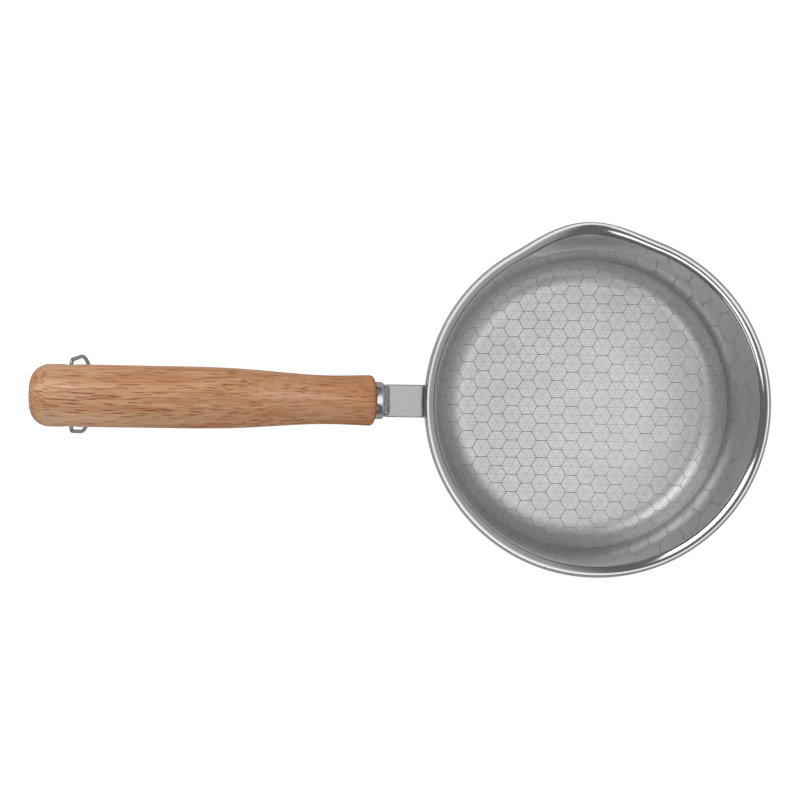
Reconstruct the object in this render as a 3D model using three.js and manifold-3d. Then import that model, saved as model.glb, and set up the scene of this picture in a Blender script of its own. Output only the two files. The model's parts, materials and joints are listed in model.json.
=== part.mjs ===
// A small drawn stainless pan with one pouring lip, a welded handle bracket, a turned wooden handle
// and a wire hanging ring. Millimetres and degrees, +Z up.
// The origin is the centre of the base, on the surface that the pan stands on.
// The handle points along -X and the pouring lip lies near +Y.
import * as THREE from "three";
import { mergeVertices } from "three/addons/utils/BufferGeometryUtils.js";
import Module from "manifold-3d";

// Bowl, drawn from one sheet and measured on its inside.
const BOWL_SHEET = 0.8;
const FLOOR_RADIUS = 54;
const CORNER_RADIUS = 12;
const WALL_FLARE = 4;
const WALL_LENGTH = 45.2;
const LIP_BEND_RADIUS = 3;
const LIP_RISE = 30;
const LIP_LENGTH = 2;
const EDGE_RADIUS = 1.2;
const EDGE_TURN = 85;

// Pouring lip, pushed out of the rim. Its angle is counted from +X, and the handle lies at 180.
const SPOUT_ANGLE = 95;
const SPOUT_HALF_WIDTH = 26;
const SPOUT_PUSH = 4.4;
const SPOUT_DEPTH = 22;

// Capsule base: a heat spreader disc under the floor, closed in by a thin steel cap.
const SPREADER_RADIUS = 51;
const SPREADER_THICKNESS = 2.5;
const CAP_SHEET = 0.5;
const CAP_CLEARANCE = 0.2;
const CAP_CORNER_RADIUS = 1.2;

// Handle bracket: a foot welded to the wall, bent out into a flat arm.
const BRACKET_SHEET = 2;
const FOOT_DROP = 10;
const FOOT_HEIGHT = 18;
const FOOT_WIDTH = 30;
const FOOT_CORNER_RADIUS = 5;
const BRACKET_BEND_RADIUS = 4;
const ARM_LENGTH = 16.2;
const ARM_WIDTH = 14;
const HANDLE_TILT = 8;

// Spot welds between the foot and the wall, in rows and columns.
const WELD_GAP = 0.3;
const WELD_CLEARANCE = 0.05;
const WELD_RADIUS = 2;
const WELD_PITCH_ACROSS = 18;
const WELD_PITCH_UP = 9;

// Fillet welds between the arm and the ferrule.
const NECK_WELD_LEG = 1.4;
const NECK_WELD_LENGTH = 2;
const NECK_WELD_WIDTH = 11;

// Ferrule, the polished collar between the arm and the wood.
const FERRULE_RADIUS = 8;
const FERRULE_LENGTH = 4;
const FERRULE_ROUND = 1.6;
const SPIGOT_RADIUS = 6.2;
const SPIGOT_LENGTH = 7;

// Threaded stud, and the insert in the wood that it screws into.
const STUD_RADIUS = 3;
const STUD_PAST_INSERT = 4;
const STUD_CHAMFER = 0.8;
const INSERT_RADIUS = 5;
const INSERT_LENGTH = 20;
const INSERT_RIDGE = 0.5;
const INSERT_RIDGES = 5;
const THREAD_CLEARANCE = 0.15;
const SEAT_GAP = 0.2;

// Wooden handle, as radii at distances from its front face.
const HANDLE_LENGTH = 142.8;
const HANDLE_FRONT_RADIUS = 10.8;
const HANDLE_NECK_RADIUS = 10.5;
const HANDLE_NECK_AT = 25;
const HANDLE_GRIP_RADIUS = 12.75;
const HANDLE_GRIP_AT = 62;
const HANDLE_BUTT_RADIUS = 13;
const HANDLE_BUTT_AT = 100;
const HANDLE_FRONT_ROUND = 2.2;
const HANDLE_BUTT_ROUND = 8;
const PILOT_PAST_STUD = 4;

// Hanging ring: one wire, bent round the handle, with its ends meeting inside the cross hole.
const WIRE_RADIUS = 0.85;
const RING_HOLE_RADIUS = 2.2;
const RING_HOLE_FROM_BUTT = 16.4;
const RING_SIDE_CLEARANCE = 0.9;
const RING_SPLAY = 1.8;
const RING_SHOULDER_DROP = 23;
const RING_TIP_DROP = 52;
const RING_BAR_BEND = 2.6;
const RING_SHOULDER_BEND = 7;
const RING_TIP_BEND = 9;
const RING_END_GAP = 0.6;
const RING_LEAN = 2.3;
const RUNNING_GAP = 0.3;

// Fineness of the facets.
const BOWL_SEGMENTS = 72;
const HANDLE_SEGMENTS = 40;
const FERRULE_SEGMENTS = 36;
const ROD_SEGMENTS = 20;
const BEND_STEP = 16;
const WALL_STEPS = 6;
const SPLINE_STEPS = 16;
const WIRE_SIDES = 5;
const NECK_WELD_STEPS = 5;
const RING_STEPS = 90;

const FOOT_ROUND_STEPS = 4;
const MERGE_TOLERANCE = 1e-4;

// How far a cutting body stands past what it cuts.
const CUT_PAST = 6;

const DEGREE = Math.PI / 180;
const FULL_TURN = 360;

const wasm = await Module();
wasm.setup();

// Materials, one for each finish.
const satinSteel = new THREE.MeshStandardMaterial({ color: 0xb9babc, roughness: 0.38, metalness: 1 });
const brightSteel = new THREE.MeshStandardMaterial({ color: 0xc9cacc, roughness: 0.16, metalness: 1 });
const weldedSteel = new THREE.MeshStandardMaterial({ color: 0x9a9a9b, roughness: 0.55, metalness: 1 });
const aluminium = new THREE.MeshStandardMaterial({ color: 0xd3d4d6, roughness: 0.5, metalness: 1 });
const brass = new THREE.MeshStandardMaterial({ color: 0xb8985a, roughness: 0.4, metalness: 1 });
const rubberwood = new THREE.MeshStandardMaterial({ color: 0xc19069, roughness: 0.55, metalness: 0 });

// Solids: from three.js geometry to manifold-3d and back.
function solidOf(geometry) {
  const bare = geometry.clone();
  bare.deleteAttribute("normal");
  bare.deleteAttribute("uv");
  const merged = mergeVertices(bare, MERGE_TOLERANCE);
  return new wasm.Manifold(
    new wasm.Mesh({
      numProp: 3,
      vertProperties: new Float32Array(merged.attributes.position.array),
      triVerts: new Uint32Array(merged.index.array),
    }),
  );
}

function geometryOf(solid) {
  const mesh = solid.getMesh();
  const geometry = new THREE.BufferGeometry();
  geometry.setAttribute("position", new THREE.BufferAttribute(mesh.vertProperties, mesh.numProp));
  geometry.setIndex(new THREE.BufferAttribute(mesh.triVerts, 1));
  geometry.computeVertexNormals();
  return geometry;
}

function piece(name, geometry, material) {
  const mesh = new THREE.Mesh(geometry, material);
  mesh.name = name;
  return mesh;
}

// A path of straight runs and bends, drawn at an offset to its left.
// A leg is { run, steps } or { bend, radius }, and a positive bend turns left.
function traced(start, heading, legs, offset) {
  const points = [];
  const at = start.clone();
  let angle = heading * DEGREE;
  const put = () => {
    const left = new THREE.Vector2(-Math.sin(angle), Math.cos(angle));
    points.push(at.clone().addScaledVector(left, offset));
  };
  put();
  for (const leg of legs) {
    const bend = (leg.bend ?? 0) * DEGREE;
    const steps = leg.steps ?? Math.max(1, Math.ceil(Math.abs(leg.bend ?? 0) / BEND_STEP));
    const chord = leg.run
      ? leg.run / steps
      : 2 * leg.radius * Math.sin(Math.abs(bend) / steps / 2);
    for (let step = 0; step < steps; step += 1) {
      angle += bend / steps / 2;
      at.add(new THREE.Vector2(Math.cos(angle), Math.sin(angle)).multiplyScalar(chord));
      angle += bend / steps / 2;
      put();
    }
  }
  return points;
}

// A body of revolution about Z, from a closed outline of radius and height.
function turned(outline, segments) {
  const geometry = new THREE.LatheGeometry(outline, segments);
  geometry.rotateX(Math.PI / 2);
  return geometry;
}

// A ring of rectangular section that follows the wall's slope between two heights.
function wallBand(lowHeight, highHeight, inner, outer) {
  const corner = (height, offset) =>
    new THREE.Vector2(wallRadius(height) + offset / Math.cos(WALL_FLARE * DEGREE), height);
  const low = [corner(lowHeight, inner), corner(lowHeight, outer)];
  const high = [corner(highHeight, outer), corner(highHeight, inner)];
  return turned([...low, ...high, low[0]], BOWL_SEGMENTS);
}

// Heights and radii that the pieces share.
const capTop = CAP_SHEET;
const spreaderTop = capTop + SPREADER_THICKNESS;
const floorHeight = spreaderTop + BOWL_SHEET;
const wallTurn = 90 - WALL_FLARE;
const bowlLegs = [
  { run: FLOOR_RADIUS },
  { bend: wallTurn, radius: CORNER_RADIUS },
  { run: WALL_LENGTH, steps: WALL_STEPS },
  { bend: LIP_RISE - wallTurn, radius: LIP_BEND_RADIUS },
  { run: LIP_LENGTH },
  { bend: -EDGE_TURN, radius: EDGE_RADIUS },
];
const bowlStart = new THREE.Vector2(0, floorHeight);
const bowlInside = traced(bowlStart, 0, bowlLegs, 0);
const bowlOutside = traced(bowlStart, 0, bowlLegs, -BOWL_SHEET);
const rimHeight = Math.max(...bowlInside.map((point) => point.y));

// Radius of the wall's outer face at a height, on the straight stretch of the wall.
function wallRadius(height) {
  const lean = WALL_FLARE * DEGREE;
  const footRadius = FLOOR_RADIUS + CORNER_RADIUS * Math.sin(wallTurn * DEGREE);
  const footHeight = floorHeight + CORNER_RADIUS * (1 - Math.cos(wallTurn * DEGREE));
  return footRadius + (height - footHeight) * Math.tan(lean) + BOWL_SHEET / Math.cos(lean);
}

// Bowl: floor, corner, wall and lip in one sheet, with the pouring lip pushed out.
function pushSpout(geometry) {
  const position = geometry.getAttribute("position");
  const at = new THREE.Vector3();
  for (let index = 0; index < position.count; index += 1) {
    at.fromBufferAttribute(position, index);
    const bearing = Math.atan2(at.y, at.x) / DEGREE - SPOUT_ANGLE;
    const aside = Math.abs(bearing - FULL_TURN * Math.round(bearing / FULL_TURN));
    if (aside >= SPOUT_HALF_WIDTH) continue;
    const across = (1 + Math.cos((Math.PI * aside) / SPOUT_HALF_WIDTH)) / 2;
    const upward = THREE.MathUtils.smoothstep(at.z, rimHeight - SPOUT_DEPTH, rimHeight - LIP_BEND_RADIUS);
    const radius = Math.hypot(at.x, at.y);
    const scale = 1 + (SPOUT_PUSH * across * upward) / radius;
    position.setXYZ(index, at.x * scale, at.y * scale, at.z);
  }
  return geometry;
}

function makeBowl() {
  const outline = [...bowlOutside, ...bowlInside.toReversed()];
  return piece("bowl", pushSpout(turned(outline, BOWL_SEGMENTS)), satinSteel);
}

// Capsule base: the disc lies between the floor and the cap, whose rim reaches up to the floor.
function makeHeatSpreader() {
  const outline = [
    new THREE.Vector2(0, capTop),
    new THREE.Vector2(SPREADER_RADIUS, capTop),
    new THREE.Vector2(SPREADER_RADIUS, spreaderTop),
    new THREE.Vector2(0, spreaderTop),
  ];
  return piece("heat_spreader", turned(outline, BOWL_SEGMENTS), aluminium);
}

function makeBaseCap() {
  const inside = SPREADER_RADIUS + CAP_CLEARANCE;
  const legs = [
    { run: inside + CAP_SHEET - CAP_CORNER_RADIUS },
    { bend: 90, radius: CAP_CORNER_RADIUS },
    { run: spreaderTop - CAP_CORNER_RADIUS },
  ];
  const outside = traced(new THREE.Vector2(0, 0), 0, legs, 0);
  const outline = [
    ...outside,
    new THREE.Vector2(inside, spreaderTop),
    new THREE.Vector2(inside, capTop),
    new THREE.Vector2(0, capTop),
  ];
  return piece("base_cap", turned(outline, BOWL_SEGMENTS), satinSteel);
}

// Handle bracket: the foot hugs the wall and the arm leaves it below the lip.
const footTop = rimHeight - FOOT_DROP;
const footBottom = footTop - FOOT_HEIGHT;
const footOffset = WELD_GAP + BRACKET_SHEET / 2;
const bracketMiddle = BRACKET_BEND_RADIUS + BRACKET_SHEET / 2;
const bracketStart = new THREE.Vector2(
  wallRadius(footBottom) + footOffset / Math.cos(WALL_FLARE * DEGREE),
  footBottom,
);
const bracketLegs = [
  { run: FOOT_HEIGHT / Math.cos(WALL_FLARE * DEGREE) },
  { bend: HANDLE_TILT - wallTurn, radius: bracketMiddle },
  { run: ARM_LENGTH },
];
const armEnd = traced(bracketStart, wallTurn, bracketLegs, 0).at(-1);

// A rounded plate in the plane of Y and Z, thick enough along X to cut the foot out of a wall band.
function footCutter() {
  const half = FOOT_WIDTH / 2;
  const round = FOOT_CORNER_RADIUS;
  const shape = new THREE.Shape();
  shape.moveTo(half, footTop);
  shape.lineTo(-half, footTop);
  shape.lineTo(-half, footBottom + round);
  shape.absarc(-half + round, footBottom + round, round, Math.PI, 1.5 * Math.PI, false);
  shape.lineTo(half - round, footBottom);
  shape.absarc(half - round, footBottom + round, round, 1.5 * Math.PI, 2 * Math.PI, false);
  const geometry = new THREE.ExtrudeGeometry(shape, {
    depth: wallRadius(rimHeight) + footOffset + CUT_PAST,
    bevelEnabled: false,
    curveSegments: FOOT_ROUND_STEPS,
  });
  geometry.rotateX(Math.PI / 2);
  geometry.rotateZ(-Math.PI / 2);
  return solidOf(geometry);
}

function makeBracket() {
  const top = traced(bracketStart, wallTurn, bracketLegs, BRACKET_SHEET / 2);
  const under = traced(bracketStart, wallTurn, bracketLegs, -BRACKET_SHEET / 2);
  const side = new THREE.Shape([...under, ...top.toReversed()]);
  const strip = new THREE.ExtrudeGeometry(side, { depth: ARM_WIDTH, bevelEnabled: false });
  strip.translate(0, 0, -ARM_WIDTH / 2);
  strip.rotateX(Math.PI / 2);
  strip.rotateZ(Math.PI);
  const band = solidOf(wallBand(footBottom, footTop, WELD_GAP, WELD_GAP + BRACKET_SHEET));
  const foot = band.intersect(footCutter());
  const clearOfWall = solidOf(wallBand(footBottom - FOOT_HEIGHT, rimHeight, -BOWL_SHEET, WELD_GAP));
  const joined = foot.add(solidOf(strip)).subtract(clearOfWall);
  return piece("handle_bracket", geometryOf(joined), satinSteel);
}

// Spot welds: discs that fill the gap between the foot and the wall.
function makeSpotWelds() {
  const middle = (footTop + footBottom) / 2;
  const skin = solidOf(
    wallBand(footBottom, footTop, WELD_CLEARANCE, WELD_GAP - WELD_CLEARANCE),
  );
  const welds = [];
  for (const up of [1, -1]) {
    for (const across of [-1, 1]) {
      const rod = new THREE.CylinderGeometry(WELD_RADIUS, WELD_RADIUS, 2 * CUT_PAST, ROD_SEGMENTS);
      rod.rotateZ(Math.PI / 2);
      const height = middle + (up * WELD_PITCH_UP) / 2;
      const sideways = (across * WELD_PITCH_ACROSS) / 2;
      const radius = wallRadius(height);
      rod.translate(-Math.sqrt(radius ** 2 - sideways ** 2), sideways, height);
      const nugget = skin.intersect(solidOf(rod));
      welds.push(piece(`spot_weld_${welds.length + 1}`, geometryOf(nugget), weldedSteel));
    }
  }
  return welds;
}

// Handle frame: local +Z runs from the front face of the wood to its butt, and local +X points up.
const ferruleFace = -(FERRULE_LENGTH + SEAT_GAP);
const handle = new THREE.Group();
handle.rotation.y = -(90 - HANDLE_TILT) * DEGREE;
const frontOffset = SEAT_GAP - ferruleFace;
handle.position.set(
  -(armEnd.x + frontOffset * Math.cos(HANDLE_TILT * DEGREE)),
  0,
  armEnd.y + frontOffset * Math.sin(HANDLE_TILT * DEGREE),
);

// Fillet welds between the arm and the ferrule, one on each face of the arm.
function makeNeckWelds() {
  const toe = ferruleFace - SEAT_GAP;
  const face = BRACKET_SHEET / 2 + SEAT_GAP;
  return ["top", "under"].map((name, index) => {
    const bead = new THREE.Shape();
    bead.moveTo(toe, face);
    bead.lineTo(toe, face + NECK_WELD_LEG);
    bead.quadraticCurveTo(toe - NECK_WELD_LENGTH, face + NECK_WELD_LEG, toe - NECK_WELD_LENGTH, face);
    bead.closePath();
    const geometry = new THREE.ExtrudeGeometry(bead, {
      depth: NECK_WELD_WIDTH,
      bevelEnabled: false,
      curveSegments: NECK_WELD_STEPS,
    });
    geometry.translate(0, 0, -NECK_WELD_WIDTH / 2);
    geometry.rotateX(Math.PI / 2);
    geometry.rotateY(-Math.PI / 2);
    geometry.rotateZ(index * Math.PI);
    return piece(`neck_weld_${name}`, geometry, weldedSteel);
  });
}

// Ferrule: a rounded collar with a spigot in the wood, bored for the stud.
function makeFerrule() {
  const bore = STUD_RADIUS + THREAD_CLEARANCE;
  const legs = [
    { run: FERRULE_RADIUS - FERRULE_ROUND - bore },
    { bend: 90, radius: FERRULE_ROUND },
    { run: FERRULE_LENGTH - FERRULE_ROUND },
  ];
  const collar = traced(new THREE.Vector2(bore, ferruleFace), 0, legs, 0);
  const seat = ferruleFace + FERRULE_LENGTH;
  const outline = [
    ...collar,
    new THREE.Vector2(SPIGOT_RADIUS, seat),
    new THREE.Vector2(SPIGOT_RADIUS, SPIGOT_LENGTH),
    new THREE.Vector2(bore, SPIGOT_LENGTH),
    collar[0],
  ];
  return piece("ferrule", turned(outline, FERRULE_SEGMENTS), brightSteel);
}

// Stud: welded to the arm, through the ferrule and the insert.
const insertStart = SPIGOT_LENGTH + SEAT_GAP;
const insertEnd = insertStart + INSERT_LENGTH;
const studEnd = insertEnd + STUD_PAST_INSERT;

function makeStud() {
  const outline = [
    new THREE.Vector2(0, ferruleFace),
    new THREE.Vector2(STUD_RADIUS, ferruleFace),
    new THREE.Vector2(STUD_RADIUS, studEnd - STUD_CHAMFER),
    new THREE.Vector2(STUD_RADIUS - STUD_CHAMFER, studEnd),
    new THREE.Vector2(0, studEnd),
  ];
  return piece("tang_stud", turned(outline, ROD_SEGMENTS), weldedSteel);
}

// Threaded insert: a ridged sleeve that grips the wood.
function makeInsert() {
  const bore = STUD_RADIUS + THREAD_CLEARANCE;
  const pitch = INSERT_LENGTH / INSERT_RIDGES;
  const outline = [new THREE.Vector2(bore, insertStart)];
  for (let ridge = 0; ridge < INSERT_RIDGES; ridge += 1) {
    const from = insertStart + ridge * pitch;
    outline.push(new THREE.Vector2(INSERT_RADIUS - INSERT_RIDGE, from));
    outline.push(new THREE.Vector2(INSERT_RADIUS, from + pitch / 2));
  }
  outline.push(new THREE.Vector2(INSERT_RADIUS - INSERT_RIDGE, insertEnd));
  outline.push(new THREE.Vector2(bore, insertEnd), outline[0]);
  return piece("threaded_insert", turned(outline, ROD_SEGMENTS), brass);
}

// Wooden handle: turned outside, stepped bore in front, cross hole near the butt.
const ringHoleAt = HANDLE_LENGTH - RING_HOLE_FROM_BUTT;

function handleOutside() {
  const front = traced(
    new THREE.Vector2(HANDLE_FRONT_RADIUS - HANDLE_FRONT_ROUND, 0),
    0,
    [{ bend: 90, radius: HANDLE_FRONT_ROUND }],
    0,
  );
  const swell = new THREE.SplineCurve([
    front.at(-1),
    new THREE.Vector2(HANDLE_NECK_RADIUS, HANDLE_NECK_AT),
    new THREE.Vector2(HANDLE_GRIP_RADIUS, HANDLE_GRIP_AT),
    new THREE.Vector2(HANDLE_BUTT_RADIUS, HANDLE_BUTT_AT),
    new THREE.Vector2(HANDLE_BUTT_RADIUS, HANDLE_LENGTH - HANDLE_BUTT_ROUND),
  ]);
  const butt = traced(
    new THREE.Vector2(HANDLE_BUTT_RADIUS, HANDLE_LENGTH - HANDLE_BUTT_ROUND),
    90,
    [{ bend: 90, radius: HANDLE_BUTT_ROUND }],
    0,
  );
  return [...front, ...swell.getPoints(SPLINE_STEPS).slice(1), ...butt.slice(1)];
}

function makeWoodenHandle() {
  const spigotBore = SPIGOT_RADIUS + SEAT_GAP;
  const spigotDepth = SPIGOT_LENGTH + SEAT_GAP / 2;
  const insertBore = INSERT_RADIUS + SEAT_GAP;
  const insertDepth = insertEnd + SEAT_GAP;
  const pilotBore = STUD_RADIUS + THREAD_CLEARANCE;
  const pilotDepth = studEnd + PILOT_PAST_STUD;
  const outline = [
    new THREE.Vector2(0, pilotDepth),
    new THREE.Vector2(pilotBore, pilotDepth),
    new THREE.Vector2(pilotBore, insertDepth),
    new THREE.Vector2(insertBore, insertDepth),
    new THREE.Vector2(insertBore, spigotDepth),
    new THREE.Vector2(spigotBore, spigotDepth),
    new THREE.Vector2(spigotBore, 0),
    ...handleOutside(),
    new THREE.Vector2(0, HANDLE_LENGTH),
  ];
  const drill = new THREE.CylinderGeometry(
    RING_HOLE_RADIUS,
    RING_HOLE_RADIUS,
    2 * (HANDLE_BUTT_RADIUS + CUT_PAST),
    ROD_SEGMENTS,
  );
  drill.translate(0, 0, ringHoleAt);
  const wood = solidOf(turned(outline, HANDLE_SEGMENTS)).subtract(solidOf(drill));
  return piece("wooden_handle", geometryOf(wood), rubberwood);
}

// A path through corners that are rounded off, from the first point to the last.
function roundedPath(corners) {
  const path = new THREE.CurvePath();
  let from = corners[0].at;
  for (let index = 1; index < corners.length - 1; index += 1) {
    const { at, round } = corners[index];
    const into = corners[index - 1].at.clone().sub(at).setLength(round).add(at);
    const out = corners[index + 1].at.clone().sub(at).setLength(round).add(at);
    path.add(new THREE.LineCurve3(from, into));
    path.add(new THREE.QuadraticBezierCurve3(into, at, out));
    from = out;
  }
  path.add(new THREE.LineCurve3(from, corners.at(-1).at));
  return path;
}

// Hanging ring: a bar through the cross hole, two legs past the butt and a rounded tip, hanging down.
function makeHangingRing() {
  const halfBar = HANDLE_BUTT_RADIUS + RING_SIDE_CLEARANCE + WIRE_RADIUS;
  const halfShoulder = halfBar + RING_SPLAY;
  const corner = (across, drop, round) => ({ at: new THREE.Vector3(0, across, -drop), round });
  const corners = [
    corner(RING_END_GAP / 2, 0),
    corner(halfBar, 0, RING_BAR_BEND),
    corner(halfShoulder, RING_SHOULDER_DROP, RING_SHOULDER_BEND),
    corner(0, RING_TIP_DROP, RING_TIP_BEND),
    corner(-halfShoulder, RING_SHOULDER_DROP, RING_SHOULDER_BEND),
    corner(-halfBar, 0, RING_BAR_BEND),
    corner(-RING_END_GAP / 2, 0),
  ];
  const section = new THREE.Shape();
  section.absarc(0, 0, WIRE_RADIUS, 0, 2 * Math.PI, false);
  const wire = new THREE.ExtrudeGeometry(section, {
    steps: RING_STEPS,
    curveSegments: WIRE_SIDES,
    extrudePath: roundedPath(corners),
  });
  const ring = piece("hanging_ring", geometryOf(solidOf(wire)), brightSteel);
  ring.rotation.x = RING_LEAN * DEGREE;
  const lean = HANDLE_BUTT_RADIUS * Math.sin(RING_LEAN * DEGREE);
  const drop = RING_HOLE_RADIUS - WIRE_RADIUS - RUNNING_GAP - lean;
  ring.position.set(
    handle.position.x - ringHoleAt * Math.cos(HANDLE_TILT * DEGREE),
    0,
    handle.position.z + ringHoleAt * Math.sin(HANDLE_TILT * DEGREE) - drop,
  );
  return ring;
}

const pan = new THREE.Group();
pan.add(makeBowl(), makeHeatSpreader(), makeBaseCap(), makeBracket(), ...makeSpotWelds());
handle.add(...makeNeckWelds(), makeFerrule(), makeStud(), makeInsert(), makeWoodenHandle());
pan.add(handle, makeHangingRing());

export default pan;
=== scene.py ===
"""A small stainless pan with a pouring lip, a wooden handle and a wire hanging ring.

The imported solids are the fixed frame. Each class here gives one sub-assembly its fine shape and its finish.
Sizes are in millimetres and degrees until a mesh is placed, where they become metres.
"""
import json
import logging
import math
from collections.abc import Callable, Sequence
from dataclasses import dataclass
from enum import Enum, IntEnum
from functools import partial

import bmesh
import bpy
from mathutils import Matrix, Vector
from mathutils.geometry import interpolate_bezier


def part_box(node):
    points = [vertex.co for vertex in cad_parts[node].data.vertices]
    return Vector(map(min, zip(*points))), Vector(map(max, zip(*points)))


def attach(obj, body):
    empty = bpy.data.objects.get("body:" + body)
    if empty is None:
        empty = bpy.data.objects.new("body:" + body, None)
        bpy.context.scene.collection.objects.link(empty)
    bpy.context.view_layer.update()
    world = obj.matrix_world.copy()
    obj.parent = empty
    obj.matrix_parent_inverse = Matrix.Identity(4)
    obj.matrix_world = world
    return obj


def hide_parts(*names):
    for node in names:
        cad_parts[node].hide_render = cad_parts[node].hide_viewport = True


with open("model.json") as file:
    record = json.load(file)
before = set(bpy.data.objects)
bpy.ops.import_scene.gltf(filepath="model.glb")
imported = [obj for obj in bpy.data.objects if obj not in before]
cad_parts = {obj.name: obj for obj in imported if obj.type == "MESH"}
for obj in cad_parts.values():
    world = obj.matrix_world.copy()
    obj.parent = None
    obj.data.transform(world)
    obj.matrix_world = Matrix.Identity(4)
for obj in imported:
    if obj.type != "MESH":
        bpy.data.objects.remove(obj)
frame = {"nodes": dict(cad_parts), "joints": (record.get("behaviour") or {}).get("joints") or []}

LOG = logging.getLogger("pan")
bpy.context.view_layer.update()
MM = 0.001
FULL_TURN = 2 * math.pi
WELD_DISTANCE = 1e-6
# Most of a noise's values lie between these two.
NOISE_SPAN = (0.3, 0.7)
# Times this, a place or a direction keeps only its level part.
LEVEL = (1, 1, 0)
WHITE = (1.0, 1.0, 1.0, 1.0)

Point = tuple[float, float]
Triple = tuple[float, float, float]
Colour = tuple[float, float, float, float]
Sockets = dict[str, object]
NodeAdder = Callable[..., bpy.types.NodeOutputs]


class Body(str, Enum):
    """The rigid bodies that pieces ride on."""

    PAN = "pan"
    RING = "ring"


def linear(code: str) -> Colour:
    """Turn an sRGB hex colour into linear light.

    Args:
        code: The colour as #RRGGBB.

    Returns:
        Red, green, blue and an alpha of one.
    """
    shares = [int(code[start:start + 2], 16) / 255 for start in (1, 3, 5)]
    light = [s / 12.92 if s <= 0.04045 else ((s + 0.055) / 1.055) ** 2.4 for s in shares]
    return (light[0], light[1], light[2], 1.0)


def add_node(
    tree: bpy.types.NodeTree,
    kind: str,
    inputs: dict[str | int, object] | None = None,
    **settings: object,
) -> bpy.types.NodeOutputs:
    """Add a shader node with its settings, values and links.

    Args:
        tree: The node tree to add to.
        kind: The node's type name, after the word ShaderNode.
        inputs: Socket name or number to a value, or to the output that feeds it.
        **settings: Properties of the node.

    Returns:
        The new node's outputs.
    """
    made = tree.nodes.new(f"ShaderNode{kind}")
    for name, value in settings.items():
        setattr(made, name, value)
    for key, value in (inputs or {}).items():
        if isinstance(value, bpy.types.NodeSocket):
            tree.links.new(value, made.inputs[key])
        else:
            made.inputs[key].default_value = value
    return made.outputs


def as_mesh(name: str, bm: bmesh.types.BMesh) -> bpy.types.Mesh:
    """Turn a bmesh into mesh data and free it.

    Args:
        name: The data's name.
        bm: The finished bmesh.

    Returns:
        The mesh data.
    """
    data = bpy.data.meshes.new(name)
    bm.to_mesh(data)
    bm.free()
    return data


def add_object(name: str, data: bpy.types.ID) -> bpy.types.Object:
    """Put data into the scene as an object.

    Args:
        name: The object's name.
        data: Its mesh, curve, light or camera.

    Returns:
        The object.
    """
    made = bpy.data.objects.new(name, data)
    bpy.context.scene.collection.objects.link(made)
    return made


def baked_mesh(source: bpy.types.Object) -> bpy.types.Mesh:
    """Give the mesh that an object shows, with its modifier or its wire applied."""
    graph = bpy.context.evaluated_depsgraph_get()
    return bpy.data.meshes.new_from_object(source.evaluated_get(graph))


@dataclass(frozen=True)
class Leg:
    """One stretch of a path: straight, or an arc that turns left by an angle."""

    length: float
    turn: float = 0.0
    steps: int = 1

    @classmethod
    def bend(cls, radius: float, turn: float, steps: int) -> "Leg":
        """Make an arc from its radius and the degrees it turns by."""
        return cls(radius * math.radians(abs(turn)), turn, steps)


@dataclass(frozen=True)
class Path:
    """Straight stretches and arcs that follow each other in a plane."""

    start: Point
    heading: float
    legs: tuple[Leg, ...]

    def at(self, distance: float, offset: float = 0.0) -> Triple:
        """Find a point on the path, or beside it.

        Args:
            distance: How far along the path, in millimetres.
            offset: How far to the left of the path.

        Returns:
            The point's two coordinates and the path's heading there in radians.
        """
        across, up = self.start
        angle = math.radians(self.heading)
        left = distance
        for leg in self.legs:
            part = min(max(left, 0.0), leg.length)
            half_turn = math.radians(leg.turn) * part / leg.length / 2
            chord = part * math.sin(half_turn) / half_turn if half_turn else part
            angle += half_turn
            across += chord * math.cos(angle)
            up += chord * math.sin(angle)
            angle += half_turn
            left -= part
        return across - math.sin(angle) * offset, up + math.cos(angle) * offset, angle

    def ends(self) -> list[float]:
        """List the distance along the path where each leg ends."""
        return [sum(leg.length for leg in self.legs[:count + 1]) for count in range(len(self.legs))]

    def stations(self) -> list[float]:
        """List where the path's steps end.

        Returns:
            The distances along the path, from its start on.
        """
        marks = [0.0]
        for leg in self.legs:
            begun = marks[-1]
            marks += [begun + leg.length * (step + 1) / leg.steps for step in range(leg.steps)]
        return marks

    def points(self, begin: float = 0.0, end: float | None = None, offset: float = 0.0) -> list[Point]:
        """List the path's points between two distances.

        Args:
            begin: Distance of the first point.
            end: Distance of the last point, or nothing for the path's end.
            offset: How far the points lie to the left of the path.

        Returns:
            The points, in order.
        """
        last = self.ends()[-1] if end is None else end
        inner = [mark for mark in self.stations() if begin + WELD_DISTANCE < mark < last - WELD_DISTANCE]
        return [self.at(mark, offset)[:2] for mark in [begin, *inner, last]]


def spin_outline(bm: bmesh.types.BMesh, outline: Sequence[Point], steps: int) -> list[bmesh.types.BMFace]:
    """Turn an outline once about Z.

    Args:
        bm: The mesh to add to.
        outline: Radius and height of each point, in millimetres.
        steps: How many faces go round.

    Returns:
        The new faces.
    """
    before = set(bm.faces)
    verts = [bm.verts.new((radius * MM, 0.0, height * MM)) for radius, height in outline]
    edges = [bm.edges.new(pair) for pair in zip(verts, verts[1:])]
    bmesh.ops.spin(
        bm, geom=[*verts, *edges], cent=(0, 0, 0), axis=(0, 0, 1), dvec=(0, 0, 0), angle=FULL_TURN,
        steps=steps, use_merge=True, use_duplicate=False,
    )
    return [face for face in bm.faces if face not in before]


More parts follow.
